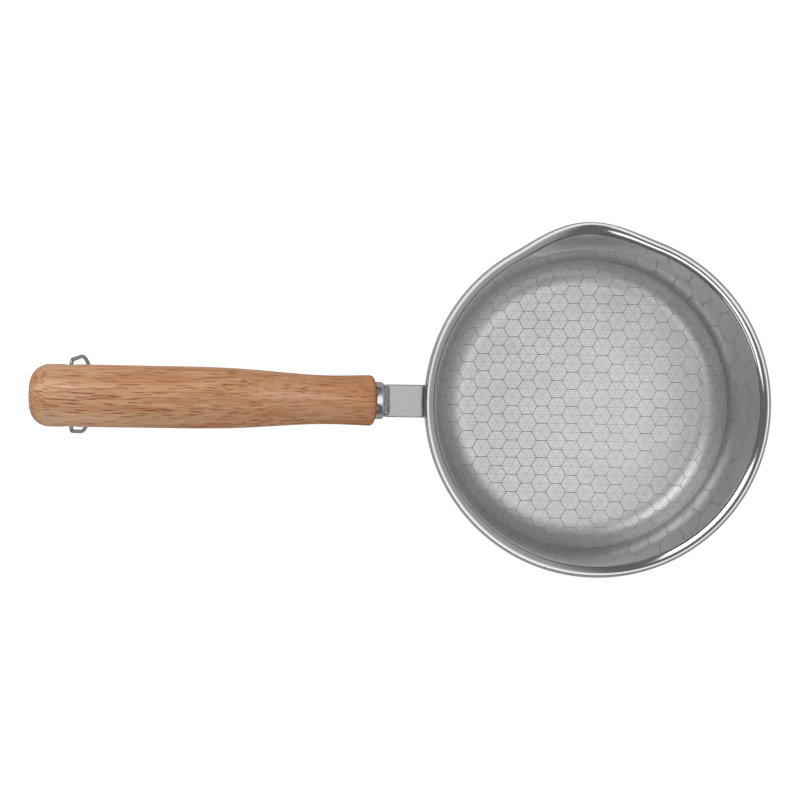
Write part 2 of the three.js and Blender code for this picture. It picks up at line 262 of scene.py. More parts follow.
def close_mesh(bm: bmesh.types.BMesh, sharp_above: float) -> None:
    """Merge doubles, point faces outwards and shade smooth up to an angle.

    Args:
        bm: The mesh to finish.
        sharp_above: Edges that turn by more degrees than this stay sharp.
    """
    bmesh.ops.remove_doubles(bm, verts=bm.verts, dist=WELD_DISTANCE)
    bmesh.ops.dissolve_degenerate(bm, edges=bm.edges, dist=WELD_DISTANCE)
    bmesh.ops.recalc_face_normals(bm, faces=bm.faces)
    for face in bm.faces:
        face.smooth = True
    limit = math.radians(sharp_above)
    for edge in bm.edges:
        edge.smooth = edge.calc_face_angle(0.0) < limit


def turned_mesh(outline: Sequence[Point], steps: int, sharp_above: float) -> bmesh.types.BMesh:
    """Make a closed mesh from one outline turned about Z.

    Args:
        outline: Radius and height of each point, in millimetres.
        steps: How many faces go round.
        sharp_above: Edges that turn by more degrees than this stay sharp.

    Returns:
        The mesh, in metres.
    """
    bm = bmesh.new()
    spin_outline(bm, outline, steps)
    close_mesh(bm, sharp_above)
    return bm


class Finish:
    """A finish that makes its material once."""

    name: str

    def paint(self, add: NodeAdder) -> Sockets:
        """Add the pattern's nodes.

        Args:
            add: Adds a node to the material.

        Returns:
            What goes into the surface shader's sockets.
        """
        raise NotImplementedError

    def material(self) -> bpy.types.Material:
        """Make the finish's material on first use.

        Returns:
            The material.
        """
        made = bpy.data.materials.get(self.name)
        if made is None:
            made = bpy.data.materials.new(self.name)
            made.use_nodes = True
            made.node_tree.nodes.clear()
            add = partial(add_node, made.node_tree)
            shader = add("BsdfPrincipled", self.paint(add))[0]
            add("OutputMaterial", {"Surface": shader})
        return made


@dataclass(frozen=True)
class PatternedMetal(Finish):
    """Bare metal whose tone and gloss vary a little with a pattern."""

    name: str
    light: str
    dark: str
    roughness: float
    roughness_spread: float

    def surface(
        self,
        add: NodeAdder,
        tone_share: bpy.types.NodeSocket,
        pattern: bpy.types.NodeSocket,
        relief: bpy.types.NodeSocket,
    ) -> Sockets:
        """Mix the two tones and let the gloss follow the pattern.

        Args:
            add: Adds a node to the material.
            tone_share: How much of the light tone shows.
            pattern: The noise that the gloss follows.
            relief: The bumped normal.

        Returns:
            What goes into the surface shader's sockets.
        """
        tones = {0: tone_share, 6: linear(self.dark), 7: linear(self.light)}
        spread = {"From Min": NOISE_SPAN[0], "From Max": NOISE_SPAN[1]}
        spread["To Min"] = self.roughness - self.roughness_spread
        spread["To Max"] = self.roughness + self.roughness_spread
        return {
            "Base Color": add("Mix", tones, data_type="RGBA")[2],
            "Metallic": 1.0,
            "Roughness": add("MapRange", {"Value": pattern, **spread})[0],
            "Normal": relief,
        }


@dataclass(frozen=True)
class TurnedSteel(PatternedMetal):
    """Steel polished on a spindle: lines run round its axis, so highlights stretch across them.

    The real lines are finer than a tenth of a millimetre, and are drawn coarser to show.
    """

    line_pitch: float
    line_depth: float
    cloud_size: float = 18.0
    wave_depth: float = 0.005
    centre: Triple = (0.0, 0.0, 0.0)
    turn: Triple = (0.0, 0.0, 0.0)

    def paint(self, add: NodeAdder) -> Sockets:
        """Add rings about the axis, soft clouds of tone and the sheet's slow waves.

        Args:
            add: Adds a node to the material.

        Returns:
            What goes into the surface shader's sockets.
        """
        axis = {"Vector": add("TexCoord")["Object"], "Location": self.centre, "Rotation": self.turn}
        local = add("Mapping", axis, vector_type="TEXTURE")[0]
        level = add("VectorMath", {0: local, 1: LEVEL}, operation="MULTIPLY")[0]
        radius = add("VectorMath", {0: level}, operation="LENGTH")["Value"]
        height = add("SeparateXYZ", {0: local})["Z"]
        rings = add("CombineXYZ", {"X": radius, "Y": height})[0]
        fine = {"Scale": 1 / (self.line_pitch * MM), "Detail": 3.0, "Roughness": 0.6}
        lines = add("TexNoise", {"Vector": rings, **fine})[0]
        clouds = add("TexNoise", {"Vector": local, "Scale": 1 / (self.cloud_size * MM), "Detail": 2.0})[0]
        waves = add("Bump", {"Height": clouds, "Distance": self.wave_depth * MM, "Strength": 1.0})[0]
        scratches = {"Height": lines, "Distance": self.line_depth * MM, "Strength": 1.0, "Normal": waves}
        return self.surface(add, clouds, lines, add("Bump", scratches)[0])


@dataclass(frozen=True)
class GrainedMetal(PatternedMetal):
    """Metal with a grain: brushed strip, drawn wire or rough weld, by the grain's size along each axis.

    A brushed or drawn grain is really finer than a tenth of a millimetre, and is drawn coarser to show.
    """

    grain: Triple
    relief_depth: float

    def paint(self, add: NodeAdder) -> Sockets:
        """Add the grain, stretched along the directions where its size is large.

        Args:
            add: Adds a node to the material.

        Returns:
            What goes into the surface shader's sockets.
        """
        stretch = {"Vector": add("TexCoord")["Object"], "Scale": tuple(part * MM for part in self.grain)}
        place = add("Mapping", stretch, vector_type="TEXTURE")[0]
        grain = add("TexNoise", {"Vector": place, "Scale": 1.0, "Detail": 4.0, "Roughness": 0.6})[0]
        relief = add("Bump", {"Height": grain, "Distance": self.relief_depth * MM, "Strength": 1.0})[0]
        return self.surface(add, grain, grain, relief)


@dataclass(frozen=True)
class EtchedSteel(Finish):
    """Stainless sheet etched with a honeycomb: each cell holds rows of fine pits, which dull the reflection.

    The pits are drawn coarser than the real ones, so that their rows show.
    """

    name: str
    light: str
    dark: str
    roughness: float
    pit_roughness: float
    pit_pitch: float
    pit_radius: float
    pit_depth: float
    cell: float
    spoke_width: float
    cloud_size: float
    uv_map: str
    pit_core: float = 0.5
    pit_shade: float = 0.75
    off_spoke_shade: float = 0.5
    spoke_shade: float = 0.25
    spoke_angles: Triple = (30.0, 90.0, 150.0)
    cloud_span: Point = (0.35, 0.65)
    cloud_shade: Point = (0.85, 1.0)

    def paint(self, add: NodeAdder) -> Sockets:
        """Add the rows of pits, on the flat blank's own millimetres, and soft clouds of tone.

        Args:
            add: Adds a node to the material.

        Returns:
            What goes into the surface shader's sockets.
        """
        blank = add("UVMap", uv_map=self.uv_map)[0]
        half = (self.pit_pitch / 2, self.pit_pitch * math.sqrt(3) / 2, 1.0)
        low = tuple(-size for size in half)
        shifted = add("VectorMath", {0: blank, 1: half}, operation="ADD")[0]
        reaches = []
        for place in (blank, shifted):
            wrapped = add("VectorMath", {0: place, 1: half, 2: low}, operation="WRAP")[0]
            level = add("VectorMath", {0: wrapped, 1: LEVEL}, operation="MULTIPLY")[0]
            reaches.append(add("VectorMath", {0: level}, operation="LENGTH")["Value"])
        nearest = add("Math", {0: reaches[0], 1: reaches[1]}, operation="MINIMUM")[0]
        edge = {"From Min": self.pit_radius * self.pit_core, "From Max": self.pit_radius}
        dots = add("MapRange", {"Value": nearest, **edge, "To Min": 1.0, "To Max": 0.0})[0]
        asides = []
        for angle in map(math.radians, self.spoke_angles):
            across = (math.cos(angle), math.sin(angle), 0.0)
            reach = add("VectorMath", {0: blank, 1: across}, operation="DOT_PRODUCT")["Value"]
            asides.append(add("Math", {0: reach, 1: self.cell / 4}, operation="PINGPONG")[0])
        spokes = asides[0]
        for aside in asides[1:]:
            spokes = add("Math", {0: spokes, 1: aside}, operation="MINIMUM")[0]
        side = {"From Min": self.spoke_width / 2, "From Max": self.spoke_width}
        weight = add("MapRange", {"Value": spokes, **side, "To Min": 1.0, "To Max": self.off_spoke_shade})[0]
        rows = add("Math", {0: dots, 1: weight}, operation="MULTIPLY")[0]
        fade = {"From Max": self.spoke_width, "To Min": self.spoke_shade, "To Max": 0.0}
        lines = add("MapRange", {"Value": spokes, **fade})[0]
        pits = add("Math", {0: rows, 1: lines}, operation="MAXIMUM")[0]
        clouds = add("TexNoise", {"Vector": blank, "Scale": 1 / self.cloud_size, "Detail": 2.0})[0]
        cloudy = {"From Min": self.cloud_span[0], "From Max": self.cloud_span[1]}
        cloudy |= {"To Min": self.cloud_shade[0], "To Max": self.cloud_shade[1]}
        ground = add("MapRange", {"Value": clouds, **cloudy})[0]
        shade = add("Math", {0: pits, 1: self.pit_shade, 2: ground}, operation="MULTIPLY_ADD")[0]
        bright = add("Math", {0: 1 + self.pit_shade, 1: shade}, operation="SUBTRACT")[0]
        tones = {0: bright, 6: linear(self.dark), 7: linear(self.light)}
        gloss = {"Value": pits, "To Min": self.roughness, "To Max": self.pit_roughness}
        relief = {"Height": pits, "Distance": self.pit_depth * MM, "Strength": 1.0}
        return {
            "Base Color": add("Mix", tones, data_type="RGBA")[2],
            "Metallic": 1.0,
            "Roughness": add("MapRange", gloss)[0],
            "Normal": add("Bump", relief, invert=True)[0],
        }


@dataclass(frozen=True)
class Rubberwood(Finish):
    """Oiled rubberwood: warm straight grain with reddish streaks and short dark pores, or dots at the ends.

    The pores are really about a quarter of a millimetre wide, and are drawn coarser to show.
    """

    name: str
    pale: str
    warm: str
    streak: str
    pore: str
    roughness: float
    specular: float
    band_size: Triple
    fibre_size: Triple
    streak_size: Triple
    pore_size: Triple
    pore_reach: float
    pore_sway: Triple
    pore_depth: float
    butt_shade_span: Point
    centre: Triple
    turn: Triple
    pore_core: float = 0.75
    pore_span: Point = (0.15, 0.65)
    patch_span: Point = (0.38, 0.62)
    patch_density: Point = (0.5, 0.95)
    streak_span: Point = (0.54, 0.7)
    ground_span: Point = (0.71, 1.13)
    fibre_weight: float = 0.5
    paler_to_butt: float = 0.14
    butt_painted_shade: float = 0.3

    def paint(self, add: NodeAdder) -> Sockets:
        """Add growth bands, fibres, streaks and pores, all drawn out along the handle, with painted shade
        over the butt's rounding.

        Args:
            add: Adds a node to the material.

        Returns:
            What goes into the surface shader's sockets.
        """
        axis = {"Vector": add("TexCoord")["Object"], "Location": self.centre, "Rotation": self.turn}
        band_place, fibre_place, streak_place, pore_place = (
            add("Mapping", {**axis, "Scale": tuple(part * MM for part in size)}, vector_type="TEXTURE")[0]
            for size in (self.band_size, self.fibre_size, self.streak_size, self.pore_size)
        )
        bands = add("TexNoise", {"Vector": band_place, "Scale": 1.0, "Detail": 3.0, "Distortion": 0.6})
        fibres = add("TexNoise", {"Vector": fibre_place, "Scale": 1.0, "Detail": 4.0, "Roughness": 0.65})[0]
        sway = {0: bands["Color"], 1: self.pore_sway}
        swayed = [
            add("VectorMath", {**sway, 2: place}, operation="MULTIPLY_ADD")[0]
            for place in (streak_place, pore_place)
        ]
        streaks = add("TexNoise", {"Vector": swayed[0], "Scale": 1.0, "Detail": 1.0})[0]
        pores = add("TexVoronoi", {"Vector": swayed[1], "Scale": 1.0, "Randomness": 1.0})
        along = add("SeparateXYZ", {0: band_place})["Z"]

        patchy = {"From Min": self.patch_span[0], "From Max": self.patch_span[1]}
        patchy |= {"To Min": self.patch_density[0], "To Max": self.patch_density[1]}
        patches = add("SeparateColor", {0: bands["Color"]})[1]
        density = add("MapRange", {"Value": patches, **patchy})[0]

        paler = add("Math", {0: along, 1: self.paler_to_butt, 2: bands[0]}, operation="MULTIPLY_ADD")[0]
        mixed = add("Math", {0: fibres, 1: self.fibre_weight, 2: paler}, operation="MULTIPLY_ADD")[0]
        # Painted shade: the tone darkens over the butt's rounding.
        end_begins, end_stops = (distance / self.band_size[2] for distance in self.butt_shade_span)
        butt = {"From Min": end_begins, "From Max": end_stops, "To Max": self.butt_painted_shade}
        darker = add("MapRange", {"Value": along, **butt})[0]
        butt_shaded_tone = add("Math", {0: mixed, 1: darker}, operation="SUBTRACT")[0]
        grounded = {"From Min": self.ground_span[0], "From Max": self.ground_span[1]}
        pale_share = add("MapRange", {"Value": butt_shaded_tone, **grounded})[0]
        colours = {0: pale_share, 6: linear(self.warm), 7: linear(self.pale)}
        ground = add("Mix", colours, data_type="RGBA")[2]

        streaky = {"From Min": self.streak_span[0], "From Max": self.streak_span[1]}
        streak_share = add("MapRange", {"Value": streaks, **streaky})[0]
        dense_streaks = add("Math", {0: density, 1: streak_share}, operation="MULTIPLY")[0]
        colours = {0: dense_streaks, 6: ground, 7: linear(self.streak)}
        streaked = add("Mix", colours, data_type="RGBA")[2]

        opening = {"From Min": self.pore_span[0], "From Max": self.pore_span[1]}
        strength = add("SeparateColor", {0: pores["Color"]})[0]
        opened = add("MapRange", {"Value": strength, **opening})[0]
        dense_pores = add("Math", {0: density, 1: opened}, operation="MULTIPLY")[0]
        edge = {"From Min": self.pore_reach * self.pore_core, "From Max": self.pore_reach}
        inside = add("MapRange", {"Value": pores["Distance"], **edge, "To Min": 1.0, "To Max": 0.0})[0]
        broken = add("Math", {0: inside, 1: dense_pores}, operation="MULTIPLY")[0]
        colours = {0: broken, 6: streaked, 7: linear(self.pore)}
        relief = {"Height": broken, "Distance": self.pore_depth * MM, "Strength": 1.0}
        return {
            "Base Color": add("Mix", colours, data_type="RGBA")[2],
            "Roughness": self.roughness,
            "Specular IOR Level": self.specular,
            "Normal": add("Bump", relief, invert=True)[0],
        }


@dataclass(frozen=True)
class LightTable(Finish):
    """Matt acrylic that shows white with a faint shadow, but stays grey where the steel reflects it."""

    name: str
    light: str
    dark: str
    cloud_size: float
    glow: float
    roughness: float = 0.9
    specular: float = 0.1

    def paint(self, add: NodeAdder) -> Sockets:
        """Add a faint unevenness of tone.

        Args:
            add: Adds a node to the material.

        Returns:
            What goes into the surface shader's sockets.
        """
        place = add("TexCoord")["Object"]
        clouds = add("TexNoise", {"Vector": place, "Scale": 1 / (self.cloud_size * MM), "Detail": 1.0})[0]
        tones = {0: clouds, 6: linear(self.dark), 7: linear(self.light)}
        seen = add("LightPath")["Is Camera Ray"]
        return {
            "Base Color": add("Mix", tones, data_type="RGBA")[2],
            "Roughness": self.roughness,
            "Specular IOR Level": self.specular,
            "Emission Color": WHITE,
            "Emission Strength": add("Math", {0: seen, 1: self.glow}, operation="MULTIPLY")[0],
        }


class SubAssembly:
    """Pieces that are built and dressed together."""

    body: Body = Body.PAN

    def add_piece(
        self,
        name: str,
        mesh: bpy.types.Mesh | bmesh.types.BMesh,
        finishes: Sequence[Finish],
        slot: str,
        node: str,
    ) -> None:
        """Make a finished mesh a piece of the pan.

        Args:
            name: The piece's name.
            mesh: Its mesh, in metres, in place.
            finishes: One finish for each material number of the mesh.
            slot: The record's material slot; it is not used.
            node: The solid that the piece stands for.
        """
        data = as_mesh(name, mesh) if isinstance(mesh, bmesh.types.BMesh) else mesh
        for finish in finishes:
            data.materials.append(finish.material())
        piece = add_object(name, data)
        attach(piece, self.body.value)
        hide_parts(node)
        LOG.info("%s: %d faces, on %s", name, len(data.polygons), self.body.value)


class BowlZone(IntEnum):
    """The material numbers of the bowl's surfaces."""

    ETCHED = 0
    GROOVE = 1
    WALL = 2
    LIP = 3
    OUTSIDE = 4


@dataclass
class Bowl(SubAssembly):
    """The drawn bowl: an etched blank, pressed into floor, corner, wall and lip, with one pouring lip."""

    sheet: float = 0.8
    floor_radius: float = 54.0
    corner_radius: float = 12.0
    wall_flare: float = 4.0
    wall_length: float = 45.5
    lip_bend_radius: float = 3.0
    lip_rise: float = 40.0
    lip_sweep: float = 20.0
    lip_sweep_radius: float = 5.86
    crest_radius: float = 2.0
    crest_turn: float = 24.0
    edge_radius: float = 0.35
    edge_turn: float = 50.0
    edge_fall: float = 1.75
    spout_angle: float = 95.0
    spout_half_width: float = 26.0
    spout_push: float = 4.4
    spout_depth: float = 22.0
    etched_reach: float = 74.2
    etched_margin: float = 0.35
    cell: float = 8.09
    cell_shift: Point = (-3.42, 2.7)
    pits_per_edge: int = 4
    groove_width: float = 0.36
    groove_depth: float = 0.08
    etch_depth: float = 0.1
    segments: int = 240
    trim_planes: int = 120
    cell_cuts: int = 3
    uv_map: str = "blank"

    def __post_init__(self) -> None:
        """Work out the floor, the rim and the path of the inner face."""
        low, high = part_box("bowl")
        self.rim = high.z / MM
        self.floor = low.z / MM + self.sheet
        self.wall_turn = 90.0 - self.wall_flare
        legs = (
            Leg(self.floor_radius),
            Leg.bend(self.corner_radius, self.wall_turn, steps=20),
            Leg(self.wall_length, steps=24),
            Leg.bend(self.lip_bend_radius, self.lip_rise - self.wall_turn, steps=12),
            Leg.bend(self.lip_sweep_radius, -self.lip_sweep, steps=8),
            Leg.bend(self.crest_radius, -self.crest_turn, steps=6),
            Leg.bend(self.edge_radius, -self.edge_turn, steps=8),
            Leg(self.edge_fall),
        )
        self.inside = Path((0.0, self.floor), 0.0, legs)

    def wall_radius(self, height: float) -> float:
        """Find how far out the wall's outer face stands.

        Args:
            height: Where on the wall.

        Returns:
            The radius there.
        """
        lean = math.radians(self.wall_flare)
        turn = math.radians(self.wall_turn)
        corner_end = self.floor + self.corner_radius * (1 - math.cos(turn))
        corner_radius = self.floor_radius + self.corner_radius * math.sin(turn)
        return corner_radius + (height - corner_end) * math.tan(lean) + self.sheet / math.cos(lean)

    def etch_blank(self, bm: bmesh.types.BMesh) -> bmesh.types.BMLayerItem:
        """Draw the flat honeycomb disc, in millimetres, with a ring that meets the wall.

        Args:
            bm: The empty mesh to draw in.

        Returns:
            The layer that marks how deep in a groove each vertex lies, from 0 to 1.
        """
        flat_below = 0.01
        sunk_above = 0.5
        long_above = self.groove_width * 1.5
        merge_below = self.groove_width / 10
        groove = bm.verts.layers.float.new("groove")
        column = self.cell * math.sqrt(3) / 2
        corner = self.cell / math.sqrt(3)
        reach = math.ceil(self.etched_reach / column) + 1
        flat_top = Matrix.Rotation(math.pi / 6, 4, "Z")
        for across in range(-reach, reach + 1):
            for up in range(-reach, reach + 1):
                centre = Vector((across * column, (up + across % 2 / 2) * self.cell, 0.0))
                centre += Vector((*self.cell_shift, 0.0))
                if centre.length < self.etched_reach + corner:
                    place = Matrix.Translation(centre) @ flat_top
                    bmesh.ops.create_circle(bm, cap_ends=True, segments=6, radius=corner, matrix=place)
        bmesh.ops.remove_doubles(bm, verts=bm.verts, dist=merge_below)
        for vert in bm.verts:
            vert[groove] = 1.0
        cells = list(bm.faces)
        bmesh.ops.inset_individual(bm, faces=cells, thickness=self.groove_width / 2, use_even_offset=True)
        for cell in cells:
            for vert in cell.verts:
                vert[groove] = 0.0
        self.trim_blank(bm)
        pads = [face for face in bm.faces if all(vert[groove] < flat_below for vert in face.verts)]
        for vert in bmesh.ops.poke(bm, faces=pads)["verts"]:
            vert[groove] = 0.0
        long_edges = [edge for edge in bm.edges if edge.calc_length() > long_above]
        bmesh.ops.subdivide_edges(bm, edges=long_edges, cuts=self.cell_cuts, use_grid_fill=True)
        for face in bm.faces:
            sunk = any(vert[groove] > sunk_above for vert in face.verts)
            face.material_index = BowlZone.GROOVE if sunk else BowlZone.ETCHED
        border = [edge for edge in bm.edges if edge.is_boundary]
        outer = self.etched_reach + self.etched_margin
        ring = bmesh.ops.create_circle(bm, segments=self.segments, radius=outer)["verts"]
        border += {edge for vert in ring for edge in vert.link_edges}
        for part in bmesh.ops.triangle_fill(bm, use_beauty=True, use_dissolve=False, edges=border)["geom"]:
            if isinstance(part, bmesh.types.BMFace):
                part.material_index = BowlZone.WALL
        return groove

    def trim_blank(self, bm: bmesh.types.BMesh) -> None:
        """Cut the honeycomb off at the round edge of the etched area.

        Args:
            bm: The flat honeycomb.
        """
        near = self.etched_reach - self.cell
        for count in range(self.trim_planes):
            angle = FULL_TURN * count / self.trim_planes
            outward = Vector((math.cos(angle), math.sin(angle), 0.0))
            faces = {face for face in bm.faces if face.calc_center_median().dot(outward) > near}
            edges = {edge for face in faces for edge in face.edges}
            verts = {vert for face in faces for vert in face.verts}
            bmesh.ops.bisect_plane(
                bm, geom=[*verts, *edges, *faces], dist=WELD_DISTANCE,
                plane_co=outward * self.etched_reach, plane_no=outward, clear_outer=True,
            )

    def press_blank(self, bm: bmesh.types.BMesh, groove: bmesh.types.BMLayerItem) -> None:
        """Keep the flat places as a UV map, then wrap the blank onto the inner face.

        Args:
            bm: The flat blank.
            groove: The layer of groove depths.
        """
        blank = bm.loops.layers.uv.new(self.uv_map)
        for face in bm.faces:
            for loop in face.loops:
                loop[blank].uv = loop.vert.co.xy - Vector(self.cell_shift)
        for vert in bm.verts:
            reach = vert.co.xy.length
            angle = math.atan2(vert.co.y, vert.co.x)
            etched = reach < self.etched_reach + self.etched_margin / 2
            depth = self.etch_depth + self.groove_depth * vert[groove] if etched else 0.0
            radius, height, _ = self.inside.at(reach, -depth)
            vert.co = Vector((radius * math.cos(angle), radius * math.sin(angle), height)) * MM

    def push_spout(self, bm: bmesh.types.BMesh) -> None:
        """Push the pouring lip out of the rim.

        Args:
            bm: The closed bowl, in metres.
        """
        none = self.rim - self.spout_depth
        for vert in bm.verts:
            bearing = math.degrees(math.atan2(vert.co.y, vert.co.x)) - self.spout_angle
            aside = abs(bearing - 360 * round(bearing / 360))
            rise = max((vert.co.z / MM - none) / self.spout_depth, 0.0)
            if aside < self.spout_half_width and rise > 0:
                across = (1 + math.cos(math.pi * aside / self.spout_half_width)) / 2
                push = self.spout_push * MM * across * rise * rise
                scale = 1 + push / vert.co.xy.length
                vert.co.x *= scale
                vert.co.y *= scale

    def build(self) -> bmesh.types.BMesh:
        """Make the bowl as one closed sheet.

        Returns:
            The mesh, in metres.
        """
        _, _, wall_end, _, sweep_end, *_, tip = self.inside.ends()
        edge = self.inside.at(tip, -self.sheet)[:2]
        zones = {
            BowlZone.WALL: self.inside.points(self.etched_reach + self.etched_margin, wall_end),
            BowlZone.LIP: [*self.inside.points(wall_end, tip), edge],
            BowlZone.OUTSIDE: [*self.inside.points(0.0, sweep_end, -self.sheet), edge],
        }
        shell = bmesh.new()
        for zone, outline in zones.items():
            for face in spin_outline(shell, outline, self.segments):
                face.material_index = zone
        data = as_mesh("bowl_spun", shell)
        bm = bmesh.new()
        self.press_blank(bm, self.etch_blank(bm))
        bm.from_mesh(data)
        bpy.data.meshes.remove(data)
        close_mesh(bm, sharp_above=15.0)
        self.push_spout(bm)
        return bm

    def dress(self) -> None:
        """Add the bowl with its five finishes, in the order of their material numbers."""
        finishes = (
            # Rows of pits turn the mirror of the sheet into a pale, even grey with a soft sheen.
            EtchedSteel(
                "stainless_honeycomb_etched", light="#E8E8E9", dark="#B8B8BA", roughness=0.43,
                pit_roughness=0.7, pit_pitch=self.cell / math.sqrt(3) / self.pits_per_edge, pit_radius=0.3,
                pit_depth=0.015, cell=self.cell, spoke_width=0.25, cloud_size=14.0, uv_map=self.uv_map,
            ),
            # The deeper etched lines are dull, and their colour is a tone darker as painted shade in the
            # grooves, so they draw the honeycomb.
            GrainedMetal(
                "stainless_etched_line_painted_shade", light="#CACACC", dark="#A8A8AA", roughness=0.45,
                roughness_spread=0.08, grain=(0.3, 0.3, 0.3), relief_depth=0.01,
            ),
            # The polished wall repeats the floor and its lines, a little bent by the sheet's waves.
            TurnedSteel(
                "stainless_wall_fine_polished", light="#C2C2C4", dark="#B4B4B6", roughness=0.07,
                roughness_spread=0.02, line_pitch=0.5, line_depth=0.0005, cloud_size=6.0, wave_depth=0.035,
            ),
            # The bright lip shows the lights and the dark room as crisp bands round the rim.
            TurnedSteel(
                "stainless_lip_bright_polished", light="#DCDCDE", dark="#CFCFD1", roughness=0.12,
                roughness_spread=0.04, line_pitch=0.4, line_depth=0.001,
            ),
            # Satin lines round the outside pull each light into a soft upright bar.
            TurnedSteel(
                "stainless_outside_satin", light="#E4E4E6", dark="#D0D0D2", roughness=0.3,
                roughness_spread=0.07, line_pitch=0.35, line_depth=0.004,
            ),
        )
        self.add_piece("bowl_shell", self.build(), finishes, "bowl_steel", "bowl")


@dataclass
class CapsuleBase(SubAssembly):
    """The thin steel cap that closes in the heat spreader under the floor."""

    sheet: float = 0.5
    corner_radius: float = 1.2
    hollow: float = 0.25
    hollow_reach: float = 47.0
    hollow_slope: float = 2.0
    segments: int = 192

    def build(self) -> bmesh.types.BMesh:
        """Make the cap as a shallow dish with a rounded edge.

        Returns:
            The mesh, in metres.
        """
        low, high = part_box("base_cap")
        radius = high.x / MM
        top = high.z / MM
        legs = (Leg.bend(self.corner_radius, 90, steps=10), Leg(top - self.corner_radius))
        outside = Path((radius - self.corner_radius, low.z / MM), 0.0, legs)
        outline = [
            (0.0, self.hollow),
            (self.hollow_reach - self.hollow_slope, self.hollow),
            (self.hollow_reach, 0.0),
            *outside.points(),
            (radius - self.sheet, top),
            (radius - self.sheet, self.sheet),
            (0.0, self.sheet),
        ]
        return turned_mesh(outline, self.segments, sharp_above=30.0)

    def dress(self) -> None:
        """Add the cap in turned magnetic steel."""
        # Turned rings make the underside a duller, darker grey than the bowl, with a fan-shaped sheen.
        finish = TurnedSteel(
            "magnetic_stainless_base_turned", light="#C6C6C8", dark="#A9A9AB", roughness=0.36,
            roughness_spread=0.08, line_pitch=0.6, line_depth=0.008,
        )
        self.add_piece("base_cap_dish", self.build(), [finish], "base_steel", "base_cap")


